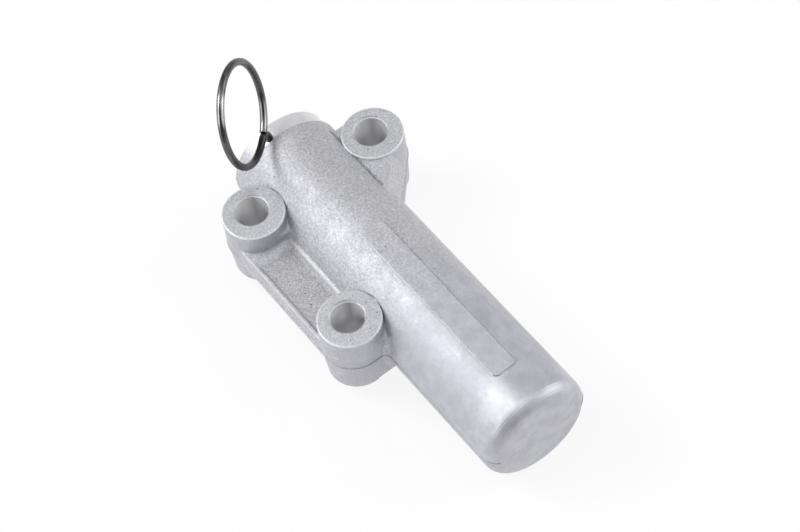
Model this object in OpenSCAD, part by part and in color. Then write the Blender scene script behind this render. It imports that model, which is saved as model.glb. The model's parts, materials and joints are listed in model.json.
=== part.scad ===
// Timing chain tensioner: a cast hydraulic tensioner with three bolt bosses, held shut by a wire lock pin.
// Millimetres. The origin is the first bolt hole's axis on the mounting face, +Z runs up along the bolts, and
// +X runs along the body towards its closed end. Stations along the body are measured from the first bolt hole.

/* [Body] */
// Outer diameter of the cast body
body_d = 30; // [28:0.5:36]
// Distance from the first bolt hole to the closed end
end_x = 94.1; // [92:0.1:110]
// Distance from the first bolt hole to the mouth rim
mouth_len = 17.2; // [17:0.1:24]
// Length of the turned collar at the mouth
collar_len = 5; // [4:0.25:8]
// Diameter of the turned collar
collar_d = 28.4; // [27:0.1:29.4]
// Radius of the closed end's edge
end_fillet = 4; // [1:0.5:6]
// Thickness of the closed end's wall
end_wall = 5.3; // [4:0.1:8]
// Chamfer on the collar's rim and on the body's front edge
rim_chamfer = 0.4; // [0.2:0.1:1]

/* [Bolt bosses] */
// Diameter of the bolt holes
bolt_hole_d = 9; // [7:0.1:10]
// Chamfer at the top of each bolt hole
bolt_chamfer = 0.5; // [0.2:0.1:1]
// Diameter of a boss at its faces
boss_d = 16.7; // [15:0.1:19]
// How much a boss's radius grows down to the parting plane
boss_draft = 0.05; // [0.05:0.05:0.6]
// How much its radius shrinks from the parting plane down to the mounting face
boss_taper = 0.5; // [0.1:0.05:0.8]
// Height of a boss from the mounting face
boss_h = 20.6; // [18:0.1:26]
// Edge radius of a boss
boss_round = 0.45; // [0.2:0.05:1.5]
// Height of the body's axis, and of the parting plane, above the mounting face
axis_h = 10; // [8:0.1:12]
// Distance from the body's axis to each bolt hole
bolt_side = 19.2; // [18:0.1:22]
// Distance between the two bolt holes of the web plate
bolt_pitch = 42; // [36:0.5:60]
// How far each boss's axis lies behind its drilled hole, towards the closed end
boss_shift = 0.8; // [0:0.1:1.2]
// Height of the webs that tie the bosses to the body, above the parting plane
web_rise = 6.3; // [5:0.1:8]

/* [Web plate] */
// Thickness of the plate between the two bosses
plate_t = 8; // [6:0.2:12]
// How far the plate's outer edge lies inside the bosses' sides
plate_inset = 0.3; // [0.1:0.1:1]
// How far the plate's outer edge slopes in above and below the parting plane
plate_draft = 0.5; // [0.1:0.1:1.2]
// Depth of the pocket in each side of the plate
pocket_depth = 1.3; // [0.5:0.1:2.5]
// Width of the rim outside the pocket
pocket_rim = 0.7; // [0.4:0.1:2]
// Width of the slope from the rim down to the pocket's floor
rim_slope = 0.9; // [0.2:0.1:2]
// Width of the flat shelf between the pocket and the body
shelf_w = 0.6; // [0.4:0.1:3]
// Gap between the first boss and the pocket
pocket_step = 0.6; // [0.4:0.1:4]
// Length of the slope from the first boss down to the pocket's floor
pocket_slope = 2.6; // [1:0.1:4]

/* [Ear of the third boss] */
// Drop from the boss's top to the ear's top
ear_drop = 0.8; // [0.6:0.1:4]
// Gap between the mounting face and the ear's underside
ear_lift = 0.6; // [0.4:0.1:4]
// Heading of the ear's outer wall, from the body's axis
ear_angle = 42; // [38:1:50]
// How far the ear's walls slope in below the parting plane, and on the mouth side above it too
ear_draft = 0.9; // [0.2:0.1:1.2]
// How far the ear's outer wall leans in above the parting plane
ear_lean = 2.9; // [1:0.1:3.5]

/* [Label pad] */
// Station where the bare label pad starts
pad_x = 27.3; // [24:0.1:36]
// Distance from the label pad's end to the closed end
pad_end = 12.6; // [8:0.2:30]
// Width of the label pad
pad_w = 6.8; // [5:0.1:9]
// Height of the pad's flat top above the body's crown
pad_rise = 0.15; // [0.05:0.05:0.6]
// Corner radius of the pad
pad_corner = 1.4; // [0.5:0.1:2]

/* [Casting marks] */
// Height of the flash along the parting plane
flash_h = 0.2; // [0.05:0.01:0.3]
// Width of the flash
flash_w = 0.42; // [0.2:0.02:0.6]

/* [Bores] */
// Step out from the main bore to the mouth bore, which holds the seal
mouth_step = 1; // [0.5:0.1:1.5]
// Depth of the mouth bore
mouth_depth = 16; // [15:0.5:20]
// Diameter of the main bore
bore_d = 21; // [20.4:0.1:21.6]
// Depth of the sleeve's seat in the closed end
sleeve_seat = 12; // [8:0.5:18]

/* [Push rod] */
// Diameter of the push rod
rod_d = 11; // [10:0.1:12]
// How far the rod's nose stands out of the mouth when locked
nose_out = 3.5; // [2:0.1:4]
// Radius of the domed nose
nose_r = 9; // [8:0.5:14]
// Full stroke of the rod
stroke = 10; // [4:0.5:10]
// Gap between the rod's flange and the sleeve when locked
flange_room = 1; // [0.5:0.1:4]
// Length of the flange
flange_len = 9; // [8:0.2:9.5]
// Diameter of the flange
flange_d = 16.4; // [15.6:0.1:17]
// Depth of the flange's groove
flange_groove = 1; // [0.6:0.1:1.2]
// Diameter of the rod's tail
tail_d = 8; // [7:0.1:9]

/* [Plunger and sleeve] */
// Diameter of the plunger
plunger_d = 14; // [13:0.1:14.6]
// How far inside the sleeve the plunger stays at full stroke
plunger_room = 2; // [0.5:0.1:4]
// Length of the plunger
plunger_len = 16; // [14:0.5:17]
// Wall of the cylinder sleeve
sleeve_wall = 2; // [1.4:0.1:2.2]
// Length of the cylinder sleeve
sleeve_len = 54; // [48:0.5:60]
// Depth of the cup that takes the rod's tail
cup_depth = 2.5; // [1.5:0.1:4]

/* [Check valve] */
// Diameter of the check ball
ball_d = 4.8; // [4.4:0.1:5]
// Lift of the check ball
ball_lift = 0.5; // [0.3:0.05:0.8]
// Diameter of the valve seat's hole
seat_hole_d = 3.2; // [2.8:0.1:3.6]
// Diameter of the valve seat
seat_d = 8; // [7.4:0.1:8.6]
// Thickness of the valve seat
seat_t = 2.5; // [2:0.1:4]
// Thickness of the cage's sheet
cage_t = 0.6; // [0.4:0.05:0.8]
// Room around the ball in its cage
cage_room = 0.5; // [0.3:0.05:0.6]
// Length of the ball spring
ball_spring_len = 2.2; // [1.8:0.1:3]

/* [Springs] */
// Room round the return spring in the sleeve
spring_room = 0.66; // [0.3:0.02:1]
// Wire of the return spring
spring_wire = 1.5; // [1.2:0.1:1.6]
// Turns of the return spring
spring_turns = 9; // [6:1:10]
// Wire of the ball spring
ball_spring_wire = 0.3; // [0.2:0.05:0.35]

/* [Seal and rings] */
// Width of the seal
seal_w = 6; // [5:0.1:6.4]
// Sheet of the seal's case
case_t = 0.8; // [0.6:0.1:1]
// Thickness of the retaining ring and of the stop ring
ring_t = 1.2; // [1:0.1:1.4]
// Depth of a ring groove
groove_depth = 0.9; // [0.6:0.1:1]
// Radial width of a ring
ring_w = 2.2; // [2:0.1:2.4]
// Room between the flange and the stop ring at full stroke
stop_room = 0.4; // [0.2:0.1:1]

/* [Lock pin] */
// Wire of the lock pin
pin_d = 2; // [1.4:0.05:2.2]
// Distance from the mouth rim to the pin
pin_inset = 3.8; // [3.1:0.05:3.8]
// Distance from the body's axis to the leg, towards the first bolt hole
pin_off = 3.5; // [2.5:0.1:4]
// Tip of the ring, out of the upright plane through the leg
pin_tip = 12.3; // [0:0.1:20]
// Turn of the pin about its own leg
pin_turn = 46.6; // [30:0.2:60]
// Centreline radius of the finger ring
finger_r = 13.4; // [11:0.1:16]
// How far the leg stands out of the collar before its bend
leg_stand = 0.8; // [0.6:0.1:4]
// Sideways offset of the finger ring's centre from the leg
finger_offset = 4.9; // [0.5:0.1:6]
// Centreline radius of the bend between leg and ring
pin_bend = 3; // [2:0.1:3.4]
// Angle left open at the ring's free end
finger_gap = 16; // [12:1:30]
// How deep the pin's tip reaches into the rod
pin_bite = 3; // [2:0.1:3.2]
// Play of the pin in the rod's hole, all round
pin_play = 0.65; // [0.6:0.05:1]

/* [Fits] */
// Radial clearance of a sliding fit
slide_clear = 0.06; // [0.03:0.01:0.1]
// Radial clearance of a seated piece
seat_clear = 0.02; // [0.01:0.01:0.04]
// Gap between pieces that only touch lightly
touch_gap = 0.06; // [0.05:0.01:0.1]

/* [Hidden] */
$fn = 96;
over = 1;

// Radii
body_r = body_d / 2;
collar_r = collar_d / 2;
boss_r = boss_d / 2;
bore_r = bore_d / 2;
mouth_r = bore_r + mouth_step;
rod_r = rod_d / 2;
flange_r = flange_d / 2;
tail_r = tail_d / 2;
plunger_r = plunger_d / 2;
sleeve_in_r = plunger_r + slide_clear;
sleeve_out_r = sleeve_in_r + sleeve_wall;
spring_r = sleeve_in_r - spring_room - spring_wire / 2;
ball_r = ball_d / 2;
seat_r = seat_d / 2;
cage_in_r = ball_r + cage_room;
cage_out_r = cage_in_r + cage_t;
pin_r = pin_d / 2;

// Stations along the body
mouth_x = -mouth_len;
step_x = mouth_x + collar_len;
bore_end_x = end_x - end_wall;
seal_floor_x = mouth_x + mouth_depth;
seal_x = seal_floor_x - seal_w;
retaining_x = seal_x - touch_gap - ring_t;
sleeve_x = bore_end_x - sleeve_len;
flange_end_x = sleeve_x - flange_room;
flange_x = flange_end_x - flange_len;
stop_x = flange_x - stroke - stop_room - ring_t;
nose_x = mouth_x - nose_out;
pin_x = mouth_x + pin_inset;
wear_side = 2;
wear_x = flange_x + wear_side;
wear_len = flange_len - 2 * wear_side;
plunger_x = sleeve_x + stroke + plunger_room;
tail_end_x = plunger_x + cup_depth - touch_gap;
plunger_end_x = plunger_x + plunger_len;
seat_x = plunger_end_x - seat_t;
ball_x = plunger_end_x + sqrt(pow(ball_r, 2) - pow(seat_hole_d / 2, 2)) + touch_gap;
ball_spring_r = ball_r / 2;
ball_spring_x = ball_x + sqrt(pow(ball_r, 2) - pow(ball_spring_r, 2)) + ball_spring_wire / 2 + touch_gap;
cage_end_x = ball_spring_x + ball_spring_len + ball_spring_wire / 2;
return_spring_x = plunger_end_x + cage_t + touch_gap;
return_spring_len = bore_end_x - touch_gap - return_spring_x;
pad_len = end_x - pad_end - pad_x;

// Ear heights, from the parting plane
ear_top = boss_h - ear_drop - axis_h;
ear_bottom = axis_h - ear_lift;
web_inset = 0.05;
flash_stop = 0.25;
plate_edge = boss_r + boss_draft - plate_inset;

// Small features of the turned pieces
bore_chamfer = 0.6;
edge = 0.4;
oil_groove_w = 1;
oil_groove_depth = 0.4;
passage_r = seat_hole_d / 2;
slot_w = 2.4;
tail_round = 1.2;
cage_flange_r = sleeve_in_r - 0.8;
cage_window_w = 2.2;
cage_windows = 3;
lip_clear = 0.04;
garter_wire_r = 0.5;
ring_gap_angle = 40;
lug_r = 1.5;
lug_hole_r = 0.6;
wear_split_w = 1;
wear_notches = 3;
wear_notch_r = 1.1;

// Lock pin, in the plane of the leg and the ring
join_angle = asin((pin_bend - finger_offset) / (finger_r + pin_bend));
leg_top = sqrt(pow(collar_r, 2) - pow(pin_off, 2)) + leg_stand;
finger_lift = (finger_r + pin_bend) * cos(join_angle);
leg_tip = sqrt(pow(rod_r, 2) - pow(pin_off, 2)) - pin_bite;
tip_chamfer = 0.4;
bend_lap = 4;
bend_thin = 0.015;
pin_hole_clear = slide_clear;

// Points of a quarter round, from angle a0 to a1 about c
function arc(c, r, a0, a1, n = 6) =
    [for (i = [0:n]) let (a = a0 + (a1 - a0) * i / n) c + r * [cos(a), sin(a)]];

// Sets children on the body's axis, with their own z as the station along the body
module on_axis(station = 0) {
    translate([station, bolt_side, axis_h])
        rotate([0, 90, 0])
            children();
}

// Sets children on the lock pin's line: z runs up along the leg, and x is the heading of the ring
module on_pin() {
    translate([pin_x, bolt_side - pin_off, axis_h])
        rotate([0, 0, -pin_turn])
            children();
}

// A tube or disc along the body's axis
module ring(r_out, r_in, x, len) {
    on_axis(x)
        difference() {
            cylinder(h = len, r = r_out);
            translate([0, 0, -over]) cylinder(h = len + 2 * over, r = r_in);
        }
}

// Places children at each bolt hole
module at_bolts() {
    for (p = [[0, 0], [bolt_pitch, 0], [0, 2 * bolt_side]])
        translate([p[0], p[1], 0]) children();
}

// The body's outside, grown by g for the flash
module body_blank(g = 0) {
    on_axis()
        rotate_extrude()
            polygon(concat(
                [[0, mouth_x], [collar_r - rim_chamfer, mouth_x], [collar_r, mouth_x + rim_chamfer],
                    [collar_r, step_x], [body_r + g - rim_chamfer, step_x],
                    [body_r + g, step_x + rim_chamfer]],
                arc([body_r + g - end_fillet, end_x + g / 4 - end_fillet], end_fillet, 0, 90, 8),
                [[0, end_x + g / 4]]));
}

// One boss with drafted sides and rounded edges, grown by g for the flash
module boss_blank(g = 0) {
    r = boss_r + g;
    foot_r = r + boss_draft - boss_taper;
    translate([boss_shift, 0, 0])
        rotate_extrude()
            polygon(concat(
                [[0, 0]],
                arc([foot_r - boss_round, boss_round], boss_round, -90, 0),
                [[r + boss_draft, axis_h]],
                arc([r - boss_round, boss_h - boss_round], boss_round, 0, 90),
                [[0, boss_h]]));
}

// Webs that run straight from the first two bosses into the body
module boss_webs(g = 0) {
    w = boss_r + boss_draft + g - web_inset;
    for (x = [0, bolt_pitch])
        translate([x + boss_shift, bolt_side / 2, axis_h])
            rotate([90, 0, 0])
                linear_extrude(bolt_side / 2)
                    polygon([[-w + boss_taper, -ear_bottom], [w - boss_taper, -ear_bottom], [w, 0],
                        [w - boss_draft, web_rise], [-w + boss_draft, web_rise], [-w, 0]]);
}

// The web plate's section across the body, in y and z from the parting plane
function plate_section(g = 0) = [
    [-plate_edge - g, 0],
    [-plate_edge - g + plate_draft, plate_t / 2],
    [bolt_side, plate_t / 2],
    [bolt_side, -plate_t / 2],
    [-plate_edge - g + plate_draft, -plate_t / 2]];

// Where the plate's flat top meets the body
shelf_y = bolt_side - sqrt(pow(body_r, 2) - pow(plate_t / 2, 2));
pocket_y0 = -plate_edge + plate_draft + pocket_rim;
pocket_y1 = shelf_y - shelf_w;

// One pocket of the plate, with a sloped wall on each side and a slope up to the first boss
module plate_pocket(side) {
    top = plate_t / 2;
    floor_z = top - pocket_depth;
    len = bolt_pitch - boss_r - pocket_step;
    run = pocket_slope / pocket_depth;
    rim_run = rim_slope / pocket_depth;
    translate([boss_shift + boss_r + pocket_step, 0, axis_h])
        mirror([0, 0, side])
            intersection() {
                rotate([90, 0, 90])
                    linear_extrude(len)
                        polygon([[pocket_y0 - over * rim_run, top + over], [pocket_y0 + rim_slope, floor_z],
                            [pocket_y1 - pocket_depth, floor_z], [pocket_y1, top], [pocket_y1, top + over]]);
                translate([0, 2 * boss_d, 0])
                    rotate([90, 0, 0])
                        linear_extrude(4 * boss_d)
                            polygon([[-over * run, top + over], [pocket_slope + over * run, floor_z - over],
                                [len + over, floor_z - over], [len + over, top + over]]);
            }
}

module web_plate() {
    difference() {
        translate([0, 0, axis_h])
            rotate([90, 0, 90])
                linear_extrude(bolt_pitch)
                    polygon(plate_section());
        for (side = [0, 1]) plate_pocket(side);
    }
}

// The third boss's ear: a drafted wall that runs from the boss down to the body
module ear(g = 0) {
    reach = boss_r + boss_draft + g;
    translate([boss_shift, 2 * bolt_side, axis_h]) {
        rotate([0, 0, -ear_angle])
            rotate([90, 0, 90])
                linear_extrude(1.3 * bolt_side)
                    polygon([[-boss_r / 2, -ear_bottom], [reach - ear_draft, -ear_bottom], [reach, 0],
                        [reach - ear_lean, ear_top], [-boss_r / 2, ear_top]]);
        rotate([90, 0, 0])
            linear_extrude(bolt_side / 2)
                polygon([[0, -ear_bottom], [-reach + ear_draft, -ear_bottom], [-reach, 0],
                    [-reach + ear_draft, ear_top], [0, ear_top]]);
    }
}

// The bare label pad, flat on top, with rounded corners
module label_pad() {
    translate([0, bolt_side, axis_h])
        linear_extrude(body_r + pad_rise)
            union() {
                translate([pad_x + pad_corner, -pad_w / 2]) square([pad_len - 2 * pad_corner, pad_w]);
                translate([pad_x, -pad_w / 2 + pad_corner]) square([pad_len, pad_w - 2 * pad_corner]);
                for (x = [pad_x + pad_corner, pad_x + pad_len - pad_corner])
                    for (y = [-1, 1])
                        translate([x, y * (pad_w / 2 - pad_corner)]) circle(r = pad_corner, $fn = 32);
            }
}

// Flash left along the parting plane, from the collar's shoulder to the closed end's round edge
module flash() {
    far = 2 * (end_x + body_d);
    from_x = step_x + rim_chamfer;
    intersection() {
        union() {
            body_blank(flash_h);
            at_bolts() boss_blank(flash_h);
            boss_webs(flash_h);
            translate([0, 0, axis_h])
                rotate([90, 0, 90])
                    linear_extrude(bolt_pitch)
                        polygon(plate_section(flash_h));
            ear(flash_h);
        }
        translate([from_x, -far / 2, axis_h - flash_w / 2])
            cube([end_x - flash_stop - from_x, far, flash_w]);
    }
}

// The stepped bore, the ring grooves and the lead-in at the mouth
module bore_cut() {
    g = mouth_r + groove_depth;
    s = bore_r + groove_depth;
    r0 = retaining_x - touch_gap;
    r1 = retaining_x + ring_t + touch_gap;
    s0 = stop_x - touch_gap;
    s1 = stop_x + ring_t + touch_gap;
    seat_out = sleeve_out_r + seat_clear;
    on_axis()
        rotate_extrude()
            polygon([[0, mouth_x - over], [mouth_r + bore_chamfer + over, mouth_x - over],
                [mouth_r, mouth_x + bore_chamfer], [mouth_r, r0], [g, r0], [g, r1], [mouth_r, r1],
                [mouth_r, seal_floor_x], [bore_r, seal_floor_x], [bore_r, s0], [s, s0], [s, s1], [bore_r, s1],
                [bore_r, bore_end_x - sleeve_seat], [seat_out, bore_end_x - sleeve_seat],
                [seat_out, bore_end_x], [0, bore_end_x]]);
}

module bolt_hole() {
    translate([0, 0, -over]) cylinder(h = boss_h + 2 * over, d = bolt_hole_d);
    translate([0, 0, boss_h - bolt_chamfer])
        cylinder(h = bolt_chamfer + over, r1 = bolt_hole_d / 2, r2 = bolt_hole_d / 2 + bolt_chamfer + over);
}

module housing() {
    color("silver")
        difference() {
            union() {
                body_blank();
                at_bolts() boss_blank();
                boss_webs();
                web_plate();
                ear();
                label_pad();
                flash();
            }
            bore_cut();
            at_bolts() bolt_hole();
            on_pin() cylinder(h = 2 * collar_r, r = pin_r + pin_hole_clear, $fn = 32);
        }
}

module lock_pin() {
    color("dimgray")
        on_pin() {
            translate([0, 0, leg_tip]) cylinder(h = tip_chamfer, r1 = pin_r - tip_chamfer, r2 = pin_r, $fn = 32);
            translate([0, 0, leg_tip + tip_chamfer])
                cylinder(h = leg_top - leg_tip - tip_chamfer, r = pin_r, $fn = 32);
            translate([0, 0, leg_top]) sphere(r = pin_r, $fn = 32);
            translate([0, 0, leg_top])
                rotate([pin_tip, 0, 0]) {
                    translate([pin_bend, 0, 0])
                        rotate([90, 0, 0])
                            rotate([0, 0, 90 + join_angle - bend_lap])
                                rotate_extrude(angle = 90 - join_angle + bend_lap)
                                    translate([pin_bend, 0]) circle(r = pin_r - bend_thin, $fn = 32);
                    translate([finger_offset, 0, finger_lift])
                        rotate([90, 0, 0])
                            rotate([0, 0, join_angle - 90])
                                rotate_extrude(angle = 360 - finger_gap - join_angle)
                                    translate([finger_r, 0]) circle(r = pin_r, $fn = 32);
                }
        }
}

// The rod with its domed nose, grooved flange and tail, turned in one piece and notched for the pin
module push_rod() {
    groove_r = flange_r - flange_groove;
    notch_r = pin_r + pin_play;
    color("lightsteelblue")
        difference() {
            on_axis()
                rotate_extrude()
                    polygon(concat(
                        arc([0, nose_x + nose_r], nose_r, -90, asin(rod_r / nose_r) - 90, 8),
                        [[rod_r, flange_x], [flange_r - edge, flange_x], [flange_r, flange_x + edge],
                            [flange_r, wear_x], [groove_r, wear_x], [groove_r, wear_x + wear_len],
                            [flange_r, wear_x + wear_len], [flange_r, flange_end_x - edge],
                            [flange_r - edge, flange_end_x], [tail_r, flange_end_x],
                            [tail_r, tail_end_x - tail_round], [tail_r - tail_round, tail_end_x],
                            [0, tail_end_x]]));
            translate([pin_x - notch_r, bolt_side - rod_d - pin_off + notch_r, axis_h + leg_tip - pin_play])
                cube([2 * notch_r, rod_d, rod_d]);
        }
}

// A split ring in the flange's groove, notched so that oil passes it
module wear_ring() {
    r_in = flange_r - flange_groove + seat_clear;
    r_out = bore_r - slide_clear;
    color("darkgoldenrod")
        difference() {
            ring(r_out, r_in, wear_x + touch_gap, wear_len - 2 * touch_gap);
            translate([wear_x - over, bolt_side - wear_split_w / 2, axis_h])
                cube([wear_len + 2 * over, wear_split_w, bore_d]);
            for (i = [1:wear_notches])
                on_axis(wear_x - over)
                    rotate([0, 0, i * 360 / (wear_notches + 1) + 180])
                        translate([r_out, 0, 0]) cylinder(h = wear_len + 2 * over, r = wear_notch_r, $fn = 32);
        }
}

module plunger() {
    cup_r = tail_r + touch_gap;
    seat_hole = seat_r + seat_clear;
    grooves = [plunger_x + plunger_len / 4, plunger_x + plunger_len / 2];
    color("slategray")
        difference() {
            on_axis()
                rotate_extrude()
                    polygon([[0, plunger_x], [plunger_r - edge, plunger_x], [plunger_r, plunger_x + edge],
                        [plunger_r, plunger_end_x - edge], [plunger_r - edge, plunger_end_x],
                        [0, plunger_end_x]]);
            on_axis(plunger_x - over) cylinder(h = cup_depth + over, r = cup_r);
            on_axis(plunger_x) cylinder(h = plunger_len, r = passage_r);
            on_axis(seat_x) cylinder(h = seat_t + over, r = seat_hole);
            translate([plunger_x - over, bolt_side - plunger_d, axis_h - slot_w / 2])
                cube([cup_depth + slot_w + over, 2 * plunger_d, slot_w]);
            for (x = grooves)
                on_axis(x)
                    difference() {
                        cylinder(h = oil_groove_w, r = plunger_r + over);
                        cylinder(h = oil_groove_w, r = plunger_r - oil_groove_depth);
                    }
        }
}

module valve_seat() {
    color("silver") ring(seat_r, seat_hole_d / 2, seat_x, seat_t);
}

module check_ball() {
    color("gainsboro") translate([ball_x, bolt_side, axis_h]) sphere(r = ball_r);
}

// A pressed cup over the ball, with windows for the oil, that the return spring holds on the plunger
module ball_cage() {
    cup_len = cage_end_x - plunger_end_x;
    color("lightgray")
        difference() {
            union() {
                ring(cage_flange_r, cage_in_r, plunger_end_x, cage_t);
                ring(cage_out_r, cage_in_r, plunger_end_x, cup_len);
                ring(cage_out_r, ball_spring_r - 2 * ball_spring_wire, cage_end_x, cage_t);
            }
            for (i = [0:cage_windows - 1])
                on_axis(plunger_end_x + 2 * cage_t)
                    rotate([0, 0, i * 360 / cage_windows])
                        translate([0, -cage_window_w / 2, 0])
                            cube([2 * cage_out_r, cage_window_w, cup_len - 3 * cage_t]);
        }
}

// Height of a coil spring's wire after t of its turns: one flat turn at each end, even pitch between
function coil_rise(t, turns, len, wire) =
    let (flat = 1.04 * wire, mid = len - wire - 2 * flat)
    t < 1 ? t * flat :
    t > turns - 1 ? flat + mid + (t - turns + 1) * flat :
    flat + (t - 1) * mid / (turns - 2);

// A coil spring along z from 0 to len, swept as a closed skin
module coil(r, wire, turns, len, steps, sides) {
    n = turns * steps;
    points = [for (i = [0:n]) for (j = [0:sides - 1])
        let (a = 360 * i / steps, b = 360 * j / sides, q = r + wire / 2 * cos(b))
        [q * cos(a), q * sin(a), wire / 2 + coil_rise(i / steps, turns, len, wire) + wire / 2 * sin(b)]];
    skin = [for (i = [0:n - 1]) for (j = [0:sides - 1])
        let (k = (j + 1) % sides)
        [i * sides + j, i * sides + k, (i + 1) * sides + k, (i + 1) * sides + j]];
    polyhedron(concat(points), concat(skin,
        [[for (j = [0:sides - 1]) sides - 1 - j]],
        [[for (j = [0:sides - 1]) n * sides + j]]));
}

module ball_spring() {
    color("gray")
        on_axis(ball_spring_x - ball_spring_wire / 2)
            coil(ball_spring_r, ball_spring_wire, 4, ball_spring_len + ball_spring_wire, 16, 6);
}

module return_spring() {
    color("dimgray")
        on_axis(return_spring_x)
            coil(spring_r, spring_wire, spring_turns, return_spring_len, 20, 8);
}

module cylinder_sleeve() {
    color("silver") ring(sleeve_out_r, sleeve_in_r, sleeve_x, sleeve_len);
}

module stop_ring() {
    r_out = bore_r + groove_depth - touch_gap;
    color("gray")
        difference() {
            ring(r_out, r_out - ring_w, stop_x, ring_t);
            on_axis(stop_x - over) ring_opening(r_out);
        }
}

// A wedge that opens a ring on its upper side
module ring_opening(r) {
    half = ring_gap_angle / 2;
    linear_extrude(ring_t + 2 * over)
        polygon([[0, 0], 2 * r * [-cos(half), sin(half)], 2 * r * [-cos(half), -sin(half)]]);
}

// An inside circlip with two eyed lugs
module retaining_ring() {
    r_out = mouth_r + groove_depth - touch_gap;
    r_eye = r_out - ring_w;
    lug_angle = ring_gap_angle / 2 + asin(lug_r / r_eye);
    color("dimgray")
        difference() {
            union() {
                difference() {
                    ring(r_out, r_out - ring_w, retaining_x, ring_t);
                    on_axis(retaining_x - over) ring_opening(r_out);
                }
                for (side = [-1, 1])
                    on_axis(retaining_x)
                        rotate([0, 0, 180 + side * lug_angle])
                            translate([r_eye, 0, 0]) cylinder(h = ring_t, r = lug_r, $fn = 32);
            }
            for (side = [-1, 1])
                on_axis(retaining_x - over)
                    rotate([0, 0, 180 + side * lug_angle])
                        translate([r_eye, 0, 0]) cylinder(h = ring_t + 2 * over, r = lug_hole_r, $fn = 32);
        }
}

// A pressed cup, open to the mouth, that holds the rubber
case_r = mouth_r - seat_clear;
case_floor_r = rod_r + 3;

module seal_case() {
    color("silver")
        on_axis()
            rotate_extrude()
                polygon([[case_r, seal_x], [case_r, seal_floor_x], [case_floor_r, seal_floor_x],
                    [case_floor_r, seal_floor_x - case_t], [case_r - case_t, seal_floor_x - case_t],
                    [case_r - case_t, seal_x]]);
}

// Rubber in the case: a web behind, a lip on the rod, and a groove round the lip for the garter spring
lip_r = rod_r + lip_clear;
lip_t = 1.1;
rubber_gap = seat_clear;
garter_x = seal_x + seal_w / 2 - case_t;
garter_r = lip_r + lip_t + garter_wire_r;

module seal_lip() {
    r1 = case_r - case_t - rubber_gap;
    x1 = seal_floor_x - case_t - rubber_gap;
    web_t = 1.4;
    skin_t = 1;
    color("black")
        difference() {
            on_axis()
                rotate_extrude()
                    polygon([[r1, seal_x + edge], [r1, x1], [lip_r + 2 * edge, x1], [lip_r + edge, x1 - web_t],
                        [lip_r, garter_x], [lip_r + edge, seal_x + edge], [lip_r + lip_t + edge, seal_x + edge],
                        [lip_r + lip_t + edge, garter_x], [lip_r + lip_t + edge, x1 - web_t], [r1 - skin_t, x1 - web_t],
                        [r1 - skin_t, seal_x + edge]]);
            on_axis(garter_x)
                rotate_extrude()
                    translate([garter_r, 0]) circle(r = garter_wire_r + rubber_gap, $fn = 32);
        }
}

module garter_spring() {
    color("gray")
        on_axis(garter_x)
            rotate_extrude()
                translate([garter_r, 0]) circle(r = garter_wire_r, $fn = 32);
}

housing();
lock_pin();
push_rod();
wear_ring();
plunger();
valve_seat();
check_ball();
ball_spring();
ball_cage();
return_spring();
cylinder_sleeve();
stop_ring();
seal_case();
seal_lip();
garter_spring();
retaining_ring();
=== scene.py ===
"""Looks of the timing chain tensioner: materials, cast fillets, springs, stage, light and camera."""
import json
from types import SimpleNamespace

import bmesh
import bpy
import numpy as np
from mathutils import Matrix, Vector


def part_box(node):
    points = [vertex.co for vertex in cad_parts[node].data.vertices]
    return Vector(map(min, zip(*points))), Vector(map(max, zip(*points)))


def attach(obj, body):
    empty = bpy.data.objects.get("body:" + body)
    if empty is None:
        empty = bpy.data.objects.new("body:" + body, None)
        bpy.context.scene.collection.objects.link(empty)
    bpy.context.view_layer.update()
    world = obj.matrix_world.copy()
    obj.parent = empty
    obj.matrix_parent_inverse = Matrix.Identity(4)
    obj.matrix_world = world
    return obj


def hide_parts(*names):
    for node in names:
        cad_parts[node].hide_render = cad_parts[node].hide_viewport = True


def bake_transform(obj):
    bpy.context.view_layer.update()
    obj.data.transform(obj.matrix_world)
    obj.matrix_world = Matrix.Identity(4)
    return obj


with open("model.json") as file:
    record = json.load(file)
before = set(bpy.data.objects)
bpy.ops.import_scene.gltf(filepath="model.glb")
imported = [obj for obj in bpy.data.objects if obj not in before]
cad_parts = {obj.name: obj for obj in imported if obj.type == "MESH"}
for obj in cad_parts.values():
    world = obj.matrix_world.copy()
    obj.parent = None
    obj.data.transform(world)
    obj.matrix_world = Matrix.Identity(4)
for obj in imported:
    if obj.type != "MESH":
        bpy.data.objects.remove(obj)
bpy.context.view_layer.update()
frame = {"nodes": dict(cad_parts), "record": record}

MM = 0.001

# Sizes of the casting that the fillets and the materials follow, in millimetres
BODY_R = 15.0
AXIS_Y = 19.2
AXIS_Z = 10.0
STEP_X = -12.2
END_X = 94.1
BORE_END_X = 88.8
HOLE_R = 4.5
BOLTS = [(0.0, 0.0), (42.0, 0.0), (0.0, 2 * AXIS_Y)]
BOSS_SHIFT = 0.8
BOSS_R = 8.35
BOSS_DRAFT = 0.05
BOSS_TAPER = 0.5
BOSS_H = 20.6
BOSS_ROUND = 0.45
WEB_HALF = 8.35
WEB_TOP = 16.3
WEB_BOTTOM = 0.6
PLATE_HALF = 4.0
PLATE_EDGE = -8.1
PLATE_DRAFT = 0.5
POCKET_DEPTH = 1.3
POCKET_X = 9.75
POCKET_SLOPE = 2.6
POCKET_Y = (-6.9, 4.143)
RIM_SLOPE = 0.9
EAR_TOP = 19.8
EAR_ANGLE = 42.0
EAR_LEAN = 2.9
EAR_DRAFT = 0.9
EAR_LENGTH = 1.3 * AXIS_Y
FLASH_H = 0.2
FLASH_W = 0.42
PAD_X = (27.3, 81.5)
PAD_HALF = 3.4
PAD_CORNER = 1.4

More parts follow.
